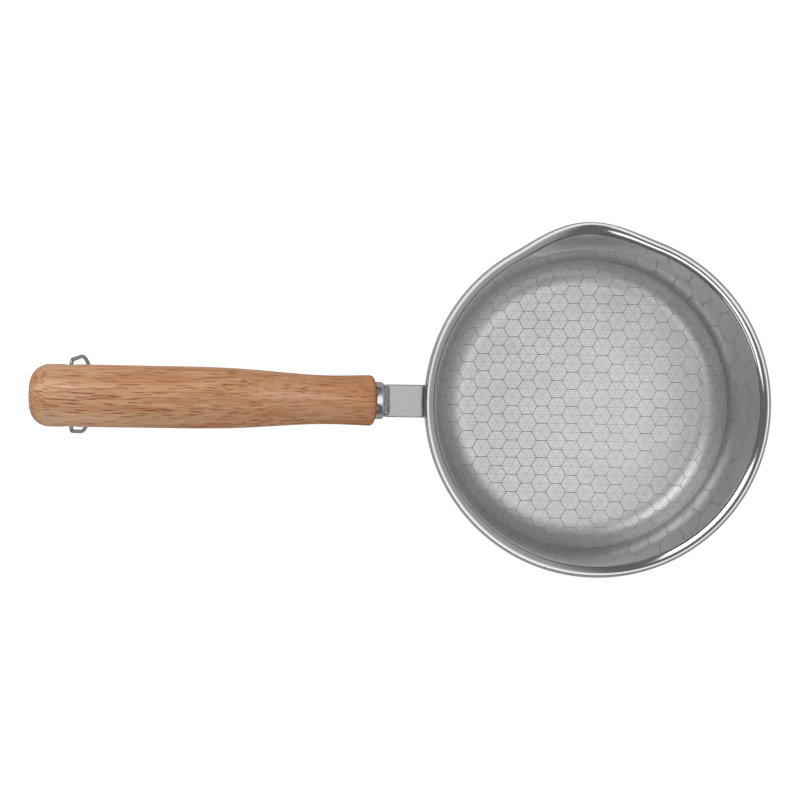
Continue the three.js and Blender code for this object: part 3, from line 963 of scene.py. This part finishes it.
@dataclass
class Neck(SubAssembly):
    """The bracket on the wall, the ferrule and the weld beads between them."""

    bowl: Bowl
    sheet: float = 2.0
    foot_drop: float = 10.0
    foot_height: float = 18.0
    foot_width: float = 30.0
    foot_corner: float = 5.0
    foot_shoulder: float = 1.5
    bend_radius: float = 4.0
    arm_length: float = 16.2
    arm_width: float = 14.0
    arm_root: float = 1.2
    arm_corner: float = 0.8
    tilt: float = 8.0
    weld_gap: float = 0.3
    weld_mark_radius: float = 2.2
    weld_mark_depth: float = 0.3
    weld_pitch: Point = (18.0, 9.0)
    slice_step: float = 0.6
    edge_round: float = 0.4
    edge_above: float = 60.0
    seat_gap: float = 0.2
    ferrule_radius: float = 8.0
    ferrule_length: float = 4.0
    ferrule_round: float = 1.6
    ferrule_back_round: float = 0.4
    ferrule_bore: float = 3.15
    ferrule_segments: int = 96
    bead_leg: float = 1.1
    bead_sink: float = 0.1
    bead_length: float = 3.4
    bead_middle: float = 0.35
    bead_reach: float = 0.5
    bead_width: float = 13.0
    bead_taper: int = 6
    bead_ripple: float = 1.1
    ripple_height: float = 0.13
    ripple_slant: float = 0.3
    wander_height: float = 0.1
    wander_turn: float = 5.1
    bead_sides: int = 20
    bead_steps: int = 44

    def __post_init__(self) -> None:
        """Work out the bracket's path and the handle's own frame."""
        foot_bottom = self.bowl.rim - self.foot_drop - self.foot_height
        lean = math.radians(self.bowl.wall_flare)
        offset = (self.weld_gap + self.sheet / 2) / math.cos(lean)
        legs = (
            Leg(self.foot_height / math.cos(lean)),
            Leg.bend(self.bend_radius + self.sheet / 2, self.tilt - self.bowl.wall_turn, steps=12),
            Leg(self.arm_length),
        )
        start = (self.bowl.wall_radius(foot_bottom) + offset, foot_bottom)
        self.path = Path(start, self.bowl.wall_turn, legs)
        radius, height, angle = self.path.at(self.path.ends()[-1])
        gap = self.ferrule_length + 2 * self.seat_gap
        self.front = Vector((-(radius + gap * math.cos(angle)), 0.0, height + gap * math.sin(angle)))
        self.turn = (0.0, -math.radians(90 - self.tilt), 0.0)

    def handle_frame(self) -> Matrix:
        """Give the handle's frame, in metres: Z runs to the butt and X points up."""
        return Matrix.Translation(self.front * MM) @ Matrix.Rotation(self.turn[1], 4, "Y")

    def cut_blank(self, bm: bmesh.types.BMesh) -> None:
        """Cut the bracket's flat blank, X along its path and Y across, and slice it fine enough to bend.

        Args:
            bm: The empty mesh to draw in, in millimetres.
        """
        half_foot = self.foot_width / 2
        half_arm = self.arm_width / 2
        foot_end, _, length = self.path.ends()
        half = [(0.0, half_foot), (foot_end, half_foot), (foot_end, half_arm), (length, half_arm)]
        outline = half + [(along, -across) for along, across in reversed(half)]
        verts = [bm.verts.new((along, across, -self.sheet / 2)) for along, across in outline]
        bm.faces.new(verts)
        rounds = (self.foot_corner, self.foot_shoulder, self.arm_root, self.arm_corner)
        for number, offset in enumerate(rounds):
            pair = [verts[number], verts[-1 - number]]
            bmesh.ops.bevel(
                bm, geom=pair, affect="VERTICES", offset=offset, segments=6, profile=0.5, material=-1,
            )
        for normal, begin, extent in (
            (Vector((1.0, 0.0, 0.0)), 0.0, length),
            (Vector((0.0, 1.0, 0.0)), -half_foot, self.foot_width),
        ):
            slices = round(extent / self.slice_step)
            for count in range(1, slices):
                bmesh.ops.bisect_plane(
                    bm, geom=[*bm.verts, *bm.edges, *bm.faces], dist=WELD_DISTANCE,
                    plane_co=normal * (extent * count / slices + begin), plane_no=normal,
                )
        raised = bmesh.ops.extrude_face_region(bm, geom=list(bm.faces))["geom"]
        tops = [part for part in raised if isinstance(part, bmesh.types.BMVert)]
        bmesh.ops.translate(bm, verts=tops, vec=(0.0, 0.0, self.sheet))
        bmesh.ops.recalc_face_normals(bm, faces=bm.faces)
        corners = [edge for edge in bm.edges if edge.calc_face_angle(0.0) > math.radians(self.edge_above)]
        bmesh.ops.bevel(
            bm, geom=corners, affect="EDGES", offset=self.edge_round, segments=3, profile=0.5, material=-1,
        )

    def bend_blank(self, bm: bmesh.types.BMesh) -> None:
        """Bend the blank along its path, wrap its foot round the wall and sink the spot welds.

        Args:
            bm: The flat blank.
        """
        foot_end, bend_end, _ = self.path.ends()
        for vert in bm.verts:
            along, across, out = vert.co
            if out < 0 and along < foot_end:
                out += self.weld_mark(along - foot_end / 2, across)
            radius, height, _ = self.path.at(along, -out if along < 0 else out)
            wrap = 1.0 - min(max((along - foot_end) / (bend_end - foot_end), 0.0), 1.0)
            turn = across / radius
            sideways = across + (radius * math.sin(turn) - across) * wrap
            outward = radius + (radius * math.cos(turn) - radius) * wrap
            vert.co = Vector((-outward, sideways, height)) * MM

    def weld_mark(self, along: float, across: float) -> float:
        """Give the depth of the spot welds' marks at a place on the foot.

        Args:
            along: Distance up from the foot's middle.
            across: Distance sideways from the foot's middle.

        Returns:
            The depth in millimetres.
        """
        aside = math.hypot(abs(across) - self.weld_pitch[0] / 2, abs(along) - self.weld_pitch[1] / 2)
        share = max(0.0, 1.0 - (aside / self.weld_mark_radius) ** 2)
        return self.weld_mark_depth * share * share * (3 - 2 * share)

    def build_bracket(self) -> bmesh.types.BMesh:
        """Make the bracket from its flat blank.

        Returns:
            The mesh, in metres.
        """
        bm = bmesh.new()
        self.cut_blank(bm)
        self.bend_blank(bm)
        close_mesh(bm, sharp_above=40.0)
        return bm

    def build_ferrule(self) -> bmesh.types.BMesh:
        """Turn the ferrule, rounded in front and eased at the wood.

        Returns:
            The mesh, in metres.
        """
        legs = (
            Leg(self.ferrule_radius - self.ferrule_round - self.ferrule_bore),
            Leg.bend(self.ferrule_round, 90, steps=12),
            Leg(self.ferrule_length - self.ferrule_round - self.ferrule_back_round),
            Leg.bend(self.ferrule_back_round, 90, steps=6),
            Leg(self.ferrule_radius - self.ferrule_back_round - self.ferrule_bore),
        )
        outline = Path((self.ferrule_bore, -(self.ferrule_length + self.seat_gap)), 0.0, legs).points()
        bm = turned_mesh([*outline, outline[0]], self.ferrule_segments, sharp_above=30.0)
        bmesh.ops.transform(bm, matrix=self.handle_frame(), verts=bm.verts)
        return bm

    def build_bead(self, side: int) -> bmesh.types.BMesh:
        """Lay a rippled weld bead along the end of the arm.

        Args:
            side: 1 for the bead on top of the arm, -1 for the one below.

        Returns:
            The mesh, in metres.
        """
        bm = bmesh.new()
        section = bmesh.ops.create_circle(bm, segments=self.bead_sides, radius=1.0)["verts"]
        edges = list(bm.edges)
        bmesh.ops.rotate(bm, verts=section, matrix=Matrix.Rotation(math.pi / 2, 3, "X"))
        bmesh.ops.spin(
            bm, geom=[*section, *edges], cent=(0, 0, 0), axis=(1, 0, 0), angle=0.0, steps=self.bead_steps,
            dvec=(0, self.bead_width / self.bead_steps, 0), use_duplicate=False,
        )
        ends = [edge for edge in bm.edges if edge.is_boundary]
        bmesh.ops.holes_fill(bm, edges=ends, sides=0)
        face = -(self.ferrule_length + 2 * self.seat_gap)
        middle = face - self.bead_length * self.bead_middle
        for vert in bm.verts:
            share = vert.co.y / self.bead_width
            wave = math.sin(FULL_TURN * (vert.co.y + self.ripple_slant * vert.co.x) / self.bead_ripple)
            taper = math.sqrt(max(0.0, 1 - (2 * share - 1) ** self.bead_taper))
            wander = 1 + self.wander_height * math.sin(self.wander_turn * share + side)
            swell = (1 + self.ripple_height * wave) * taper * wander
            toe = (1 + vert.co.z) / 2
            up = self.sheet / 2 - self.bead_sink + self.bead_leg * swell * toe * vert.co.x
            back = middle + self.bead_length * self.bead_reach * swell * vert.co.z
            vert.co = Vector((side * up, vert.co.y - self.bead_width / 2, min(back, face)))
        bmesh.ops.scale(bm, verts=bm.verts, vec=(MM, MM, MM))
        close_mesh(bm, sharp_above=50.0)
        bmesh.ops.transform(bm, matrix=self.handle_frame(), verts=bm.verts)
        return bm

    def dress(self) -> None:
        """Add the bracket, the ferrule and both beads."""
        # Brushing along the strip leaves a soft grey sheen without any clear reflection.
        strip = GrainedMetal(
            "stainless_strip_satin_brushed", light="#CCCCCC", dark="#8E8E8E", roughness=0.36,
            roughness_spread=0.06, grain=(6.0, 0.25, 6.0), relief_depth=0.006,
        )
        # The polished collar shows dark and bright bands along its round side.
        bright = TurnedSteel(
            "stainless_ferrule_mirror_polished", light="#D8D8DA", dark="#C8C8CA", roughness=0.1,
            roughness_spread=0.03, line_pitch=0.5, line_depth=0.001, centre=tuple(self.front * MM),
            turn=self.turn,
        )
        # Weld metal is lumpy and partly burnt, so bright specks sit between dark ones; its dark tone is also
        # painted shade where the strap meets the ferrule.
        weld = GrainedMetal(
            "weld_metal_rough_and_painted_shade", light="#D2D2D1", dark="#4A4948", roughness=0.36,
            roughness_spread=0.1, grain=(1.0, 1.0, 1.0), relief_depth=0.2,
        )
        self.add_piece("bracket_strap", self.build_bracket(), [strip], "bracket_steel", "handle_bracket")
        self.add_piece("ferrule_collar", self.build_ferrule(), [bright], "ferrule_steel", "ferrule")
        for name, side in (("top", 1), ("under", -1)):
            bead = self.build_bead(side)
            self.add_piece(f"weld_bead_{name}", bead, [weld], "weld_steel", f"neck_weld_{name}")


@dataclass
class WoodenHandle(SubAssembly):
    """The turned handle, with its cross hole for the ring."""

    neck: Neck
    length: float = 142.8
    front_radius: float = 10.8
    front_round: float = 2.2
    waist: Point = (10.5, 25.0)
    grip: Point = (12.75, 62.0)
    butt: Point = (13.0, 100.0)
    butt_round: float = 8.0
    bore_radius: float = 6.4
    bore_depth: float = 7.1
    hole_radius: float = 2.2
    hole_from_butt: float = 16.4
    hole_flare: float = 0.5
    flare_depth: float = 0.6
    drill_spare: float = 2.0
    drill_segments: int = 48
    spline_steps: int = 12
    segments: int = 128
    sharp_above: float = 40.0

    def swell(self) -> list[Point]:
        """Draw the long curve from the front rounding to the butt rounding.

        Returns:
            Radius and distance of each point.
        """
        butt_begins = (self.butt[0], self.length - self.butt_round)
        front_ends = (self.front_radius, self.front_round)
        stops = [Vector(stop) for stop in (front_ends, self.waist, self.grip, self.butt, butt_begins)]
        padded = [stops[0], *stops, stops[-1]]
        curve: list[Point] = []
        for before, begin, end, after in zip(padded, stops, stops[1:], padded[3:]):
            # A sixth of the way between a stop's neighbours keeps the curve smooth through the stop.
            leaving = begin + (end - before) / 6
            arriving = end - (after - begin) / 6
            points = interpolate_bezier(begin, leaving, arriving, end, self.spline_steps)
            curve += [tuple(point) for point in points[1:]]
        return curve

    def build_body(self) -> bmesh.types.BMesh:
        """Turn the handle's outside and its front bore.

        Returns:
            The mesh, in metres.
        """
        front_begins = (self.front_radius - self.front_round, 0.0)
        front = Path(front_begins, 0.0, (Leg.bend(self.front_round, 90, steps=10),))
        butt_begins = (self.butt[0], self.length - self.butt_round)
        butt = Path(butt_begins, 90.0, (Leg.bend(self.butt_round, 90, steps=24),))
        outline = [
            (0.0, self.bore_depth),
            (self.bore_radius, self.bore_depth),
            (self.bore_radius, 0.0),
            *front.points(),
            *self.swell(),
            *butt.points()[1:],
            (0.0, self.length),
        ]
        return turned_mesh(outline, self.segments, self.sharp_above)

    def build_drill(self) -> bmesh.types.BMesh:
        """Make the body that cuts the cross hole and eases its mouths.

        Returns:
            The mesh, in metres.
        """
        reach = self.butt[0] + self.drill_spare
        half = [
            (0.0, reach),
            (self.hole_radius + self.hole_flare + self.drill_spare, reach),
            (self.hole_radius, self.butt[0] - self.hole_flare - self.flare_depth),
        ]
        outline = half + [(radius, -height) for radius, height in reversed(half)]
        bm = turned_mesh(outline, self.drill_segments, self.sharp_above)
        place = Matrix.Translation((0.0, 0.0, (self.length - self.hole_from_butt) * MM))
        bmesh.ops.transform(bm, matrix=place @ Matrix.Rotation(math.pi / 2, 4, "X"), verts=bm.verts)
        return bm

    def build(self) -> bpy.types.Mesh:
        """Drill the turned body and set it on its axis.

        Returns:
            The mesh, in metres.
        """
        turned = add_object("handle_turned", as_mesh("handle_turned", self.build_body()))
        drill = add_object("cross_drill", as_mesh("cross_drill", self.build_drill()))
        cut = turned.modifiers.new("cross_hole", "BOOLEAN")
        cut.operation = "DIFFERENCE"
        cut.solver = "EXACT"
        cut.object = drill
        data = baked_mesh(turned)
        for part in (turned, drill):
            bpy.data.objects.remove(part)
        data.transform(self.neck.handle_frame())
        data.set_sharp_from_angle(angle=math.radians(self.sharp_above))
        return data

    def dress(self) -> None:
        """Add the handle in oiled rubberwood."""
        # Oil warms the pale wood and darkens its open pores, and leaves only a dull sheen.
        finish = Rubberwood(
            "rubberwood_oiled", pale="#F1C49E", warm="#D09367", streak="#B26B45", pore="#80381A",
            roughness=0.5, specular=0.2, band_size=(5.0, 5.0, 60.0), fibre_size=(0.6, 0.6, 18.0),
            streak_size=(0.5, 0.5, 26.0), pore_size=(0.48, 0.48, 8.5), pore_reach=0.42,
            pore_sway=(4.0, 4.0, 0.0), pore_depth=0.02,
            butt_shade_span=(self.length - self.butt_round, self.length),
            centre=tuple(self.neck.front * MM), turn=self.neck.turn,
        )
        self.add_piece("handle_wood", self.build(), [finish], "handle_wood", "wooden_handle")


@dataclass
class HangingRing(SubAssembly):
    """The wire loop through the handle's cross hole, hanging straight down."""

    handle: WoodenHandle
    body: Body = Body.RING
    wire_radius: float = 0.85
    side_clearance: float = 0.9
    splay: float = 1.8
    shoulder_drop: float = 23.0
    tip_drop: float = 52.0
    bar_bend: float = 2.6
    shoulder_bend: float = 7.0
    tip_bend: float = 9.0
    end_gap: float = 0.6
    lean: float = 2.3
    bend_steps: int = 12
    wire_sides: int = 6
    sharp_above: float = 50.0

    def route(self) -> list[Vector]:
        """Draw the wire's middle line in its own plane, across and down.

        Returns:
            The points, in millimetres.
        """
        bar = self.handle.butt[0] + self.side_clearance + self.wire_radius
        half = [
            (Vector((bar, 0.0)), self.bar_bend),
            (Vector((bar + self.splay, -self.shoulder_drop)), self.shoulder_bend),
        ]
        tip = (Vector((0.0, -self.tip_drop)), self.tip_bend)
        other = [(Vector((-corner.x, corner.y)), bend) for corner, bend in reversed(half)]
        corners = [*half, tip, *other]
        ends = [Vector((self.end_gap / 2, 0.0)), Vector((-self.end_gap / 2, 0.0))]
        places = [ends[0], *(corner for corner, _ in corners), ends[1]]
        points = [ends[0]]
        for before, (corner, bend), after in zip(places, corners, places[2:]):
            into = corner + (before - corner).normalized() * bend
            out = corner + (after - corner).normalized() * bend
            # Handles two thirds of the way to the corner give an even bend.
            leaving = into + (corner - into) * 2 / 3
            arriving = out + (corner - out) * 2 / 3
            points += interpolate_bezier(into, leaving, arriving, out, self.bend_steps)
        return [*points, ends[1]]

    def build(self) -> bpy.types.Mesh:
        """Draw the wire along its route and set it on its hinge.

        Returns:
            The mesh, in metres.
        """
        line = bpy.data.curves.new("ring_route", "CURVE")
        line.dimensions = "3D"
        line.bevel_depth = self.wire_radius
        line.bevel_resolution = self.wire_sides
        line.use_fill_caps = True
        spline = line.splines.new("POLY")
        points = self.route()
        spline.points.add(len(points) - 1)
        for place, point in zip(spline.points, points):
            place.co = (0.0, point.x, point.y, 1.0)
        wire = add_object("ring_route", line)
        data = baked_mesh(wire)
        bpy.data.objects.remove(wire)
        hinge = Vector(frame["joints"][0]["pos_m"])
        lean = Matrix.Rotation(math.radians(self.lean), 4, "X")
        data.transform(Matrix.Translation(hinge) @ lean @ Matrix.Scale(MM, 4))
        data.set_sharp_from_angle(angle=math.radians(self.sharp_above))
        return data

    def dress(self) -> None:
        """Add the ring in bright wire."""
        # Drawing leaves faint lines along the wire, so its bright streak is a little soft.
        finish = GrainedMetal(
            "stainless_wire_bright_drawn", light="#BEBEC0", dark="#929294", roughness=0.22,
            roughness_spread=0.06, grain=(0.4, 0.4, 4.0), relief_depth=0.006,
        )
        self.add_piece("ring_wire", self.build(), [finish], "ring_wire", "hanging_ring")


class InnerPieces:
    """The solids inside the pan that keep their own shape and only need a finish."""

    finishes: dict[str, Finish] = {
        # Rolled sheet has a pale, blurred shine that runs with the rolling.
        "heat_spreader": GrainedMetal(
            "aluminium_sheet_rolled", light="#D6D7D9", dark="#B4B5B7", roughness=0.45,
            roughness_spread=0.08, grain=(12.0, 0.4, 12.0), relief_depth=0.01,
        ),
        # Plain turned steel is a darker grey with fine lines across its length.
        "tang_stud": GrainedMetal(
            "steel_stud_turned", light="#A9A9A9", dark="#828282", roughness=0.4,
            roughness_spread=0.08, grain=(0.4, 3.0, 3.0), relief_depth=0.02,
        ),
        # Turned brass is a warm yellow with the same fine lines.
        "threaded_insert": GrainedMetal(
            "brass_insert_turned", light="#CBB06F", dark="#A98B48", roughness=0.36,
            roughness_spread=0.08, grain=(0.4, 3.0, 3.0), relief_depth=0.02,
        ),
    }
    # A spot weld's metal is dull and a little brown from the heat.
    weld = GrainedMetal(
        "weld_metal_fused", light="#A8A6A2", dark="#7A7671", roughness=0.45,
        roughness_spread=0.1, grain=(0.8, 0.8, 0.8), relief_depth=0.02,
    )

    def dress(self) -> None:
        """Give each inner solid its finish."""
        for name, node in frame["nodes"].items():
            finish = self.weld if name.startswith("spot_weld") else self.finishes.get(name)
            if finish is not None:
                node.data.materials.clear()
                node.data.materials.append(finish.material())
                LOG.info("%s: keeps its solid", name)


@dataclass(frozen=True)
class Softbox:
    """A large soft light that faces the pan, with its place and size in metres."""

    name: str
    place: Triple
    size: Point
    brightness: float

    def add(self, target: Vector) -> None:
        """Hang the light so that it faces a point.

        Args:
            target: The point, in metres.
        """
        light = bpy.data.lights.new(self.name, "AREA")
        light.shape = "RECTANGLE"
        light.size, light.size_y = self.size
        light.energy = self.brightness * math.pi * self.size[0] * self.size[1]
        lamp = add_object(self.name, light)
        lamp.location = self.place
        lamp.visible_camera = False
        aim = target - Vector(self.place)
        lamp.rotation_euler = aim.to_track_quat("-Z", "Y").to_euler()


@dataclass
class Studio:
    """Floor, lights and camera. Each side of the sky lists its brightness by degrees above the horizon."""

    rim: float
    frame_pixels: float = 800.0
    focal_pixels: float = 1330.0
    rim_distance: float = 566.0
    rim_centre: Point = (598.1, 404.2)
    optical_centre: Point = (400.0, 400.0)
    roll: float = 0.95
    sensor: float = 36.0
    near_clip: float = 0.01
    floor_size: float = 4.0
    floor_cells: int = 8
    table_glow: float = 0.72
    sky_left: tuple[Point, ...] = ((0, 0.16), (60, 0.16), (74, 0.3), (90, 1.05))
    sky_right: tuple[Point, ...] = ((0, 0.42), (30, 0.42), (46, 0.5), (58, 0.95), (72, 1.45), (90, 1.05))
    bright_side: float = 8.0
    side_span: Point = (0.2, 0.6)
    softboxes: tuple[Softbox, ...] = (
        Softbox("softbox_back", (-0.709, 0.845, 0.689), (1.0, 0.85), 2.4),
        Softbox("strip_front_low", (-1.078, -0.674, 0.27), (0.65, 0.27), 1.5),
        Softbox("strip_front_high", (-0.615, -0.683, 0.919), (1.4, 0.36), 1.6),
        Softbox("overhead_front", (-0.108, -0.296, 1.261), (0.37, 0.37), 1.2),
    )

    def add_floor(self) -> None:
        """Lay the light table that the pan stands on."""
        bm = bmesh.new()
        cells = self.floor_cells
        bmesh.ops.create_grid(bm, x_segments=cells, y_segments=cells, size=self.floor_size / 2)
        data = as_mesh("light_table", bm)
        # Matt acrylic lit from below is an even white, and takes only a faint shadow.
        finish = LightTable(
            "acrylic_light_table_matt", light="#C8C8C8", dark="#C4C4C4", cloud_size=400.0,
            glow=self.table_glow,
        )
        data.materials.append(finish.material())
        add_object("light_table", data)

    def add_light(self) -> None:
        """Add the surroundings, dim at the sides and bright overhead, and the softboxes."""
        world = bpy.data.worlds.new("studio")
        bpy.context.scene.world = world
        world.use_nodes = True
        world.node_tree.nodes.clear()
        add = partial(add_node, world.node_tree)
        direction = add("TexCoord")["Generated"]
        upward = add("SeparateXYZ", {0: direction})["Z"]
        angle = add("Math", {0: upward}, operation="ARCSINE")[0]
        height = add("Math", {0: angle, 1: 2 / math.pi}, operation="MULTIPLY")[0]
        level = add("VectorMath", {0: direction, 1: LEVEL}, operation="MULTIPLY")[0]
        heading = add("VectorMath", {0: level}, operation="NORMALIZE")[0]
        bearing = math.radians(self.bright_side)
        brightest = (math.cos(bearing), math.sin(bearing), 0.0)
        towards = add("VectorMath", {0: heading, 1: brightest}, operation="DOT_PRODUCT")["Value"]
        span = {"From Min": self.side_span[0], "From Max": self.side_span[1]}
        side = add("MapRange", {"Value": towards, **span}, interpolation_type="SMOOTHSTEP")[0]
        ramps = []
        for stops in (self.sky_left, self.sky_right):
            ramps.append(add("ValToRGB", {0: height})[0])
            elements = ramps[-1].node.color_ramp.elements
            for number, (elevation, brightness) in enumerate(stops):
                place = elevation / 90
                end_stop = {0: 0, len(stops) - 1: -1}.get(number)
                stop = elements.new(place) if end_stop is None else elements[end_stop]
                stop.position = place
                stop.color = (brightness, brightness, brightness, 1.0)
        strength = add("Mix", {0: side, 6: ramps[0], 7: ramps[1]}, data_type="RGBA")[2]
        seen = add("LightPath")["Is Camera Ray"]
        shown = add("Math", {0: seen, 1: strength}, operation="MAXIMUM")[0]
        sky = add("Background", {"Color": WHITE, "Strength": shown})[0]
        add("OutputWorld", {"Surface": sky})
        for softbox in self.softboxes:
            softbox.add(Vector((0.0, 0.0, self.rim * MM)))

    def add_camera(self) -> None:
        """Hang the camera above the pan, looking straight down, with the rim where the photograph has it."""
        scale = self.rim_distance / self.focal_pixels
        aside = (self.rim_centre[0] - self.optical_centre[0]) * scale
        below = (self.rim_centre[1] - self.optical_centre[1]) * scale
        roll = math.radians(self.roll)
        place = Matrix.Rotation(roll, 4, "Z") @ Vector((-aside, below, self.rim + self.rim_distance))
        data = bpy.data.cameras.new("camera")
        data.sensor_width = self.sensor
        data.lens = self.sensor * self.focal_pixels / self.frame_pixels
        data.shift_x = (self.frame_pixels / 2 - self.optical_centre[0]) / self.frame_pixels
        data.shift_y = (self.optical_centre[1] - self.frame_pixels / 2) / self.frame_pixels
        data.clip_start = self.near_clip
        camera = add_object("camera", data)
        camera.location = place * MM
        camera.rotation_euler = (0.0, 0.0, roll)
        bpy.context.scene.camera = camera

    def dress(self) -> None:
        """Set the floor, the lights, the camera and a plain view of colour."""
        self.add_floor()
        self.add_light()
        self.add_camera()
        bpy.context.scene.view_settings.view_transform = "Standard"


def main() -> None:
    """Build and dress the pan, then set the studio round it."""
    logging.basicConfig(level=logging.INFO, format="%(message)s")
    bowl = Bowl()
    neck = Neck(bowl)
    handle = WoodenHandle(neck)
    ring = HangingRing(handle)
    for part in (bowl, CapsuleBase(), neck, handle, ring, InnerPieces(), Studio(bowl.rim)):
        part.dress()


if __name__ == "__main__":
    main()
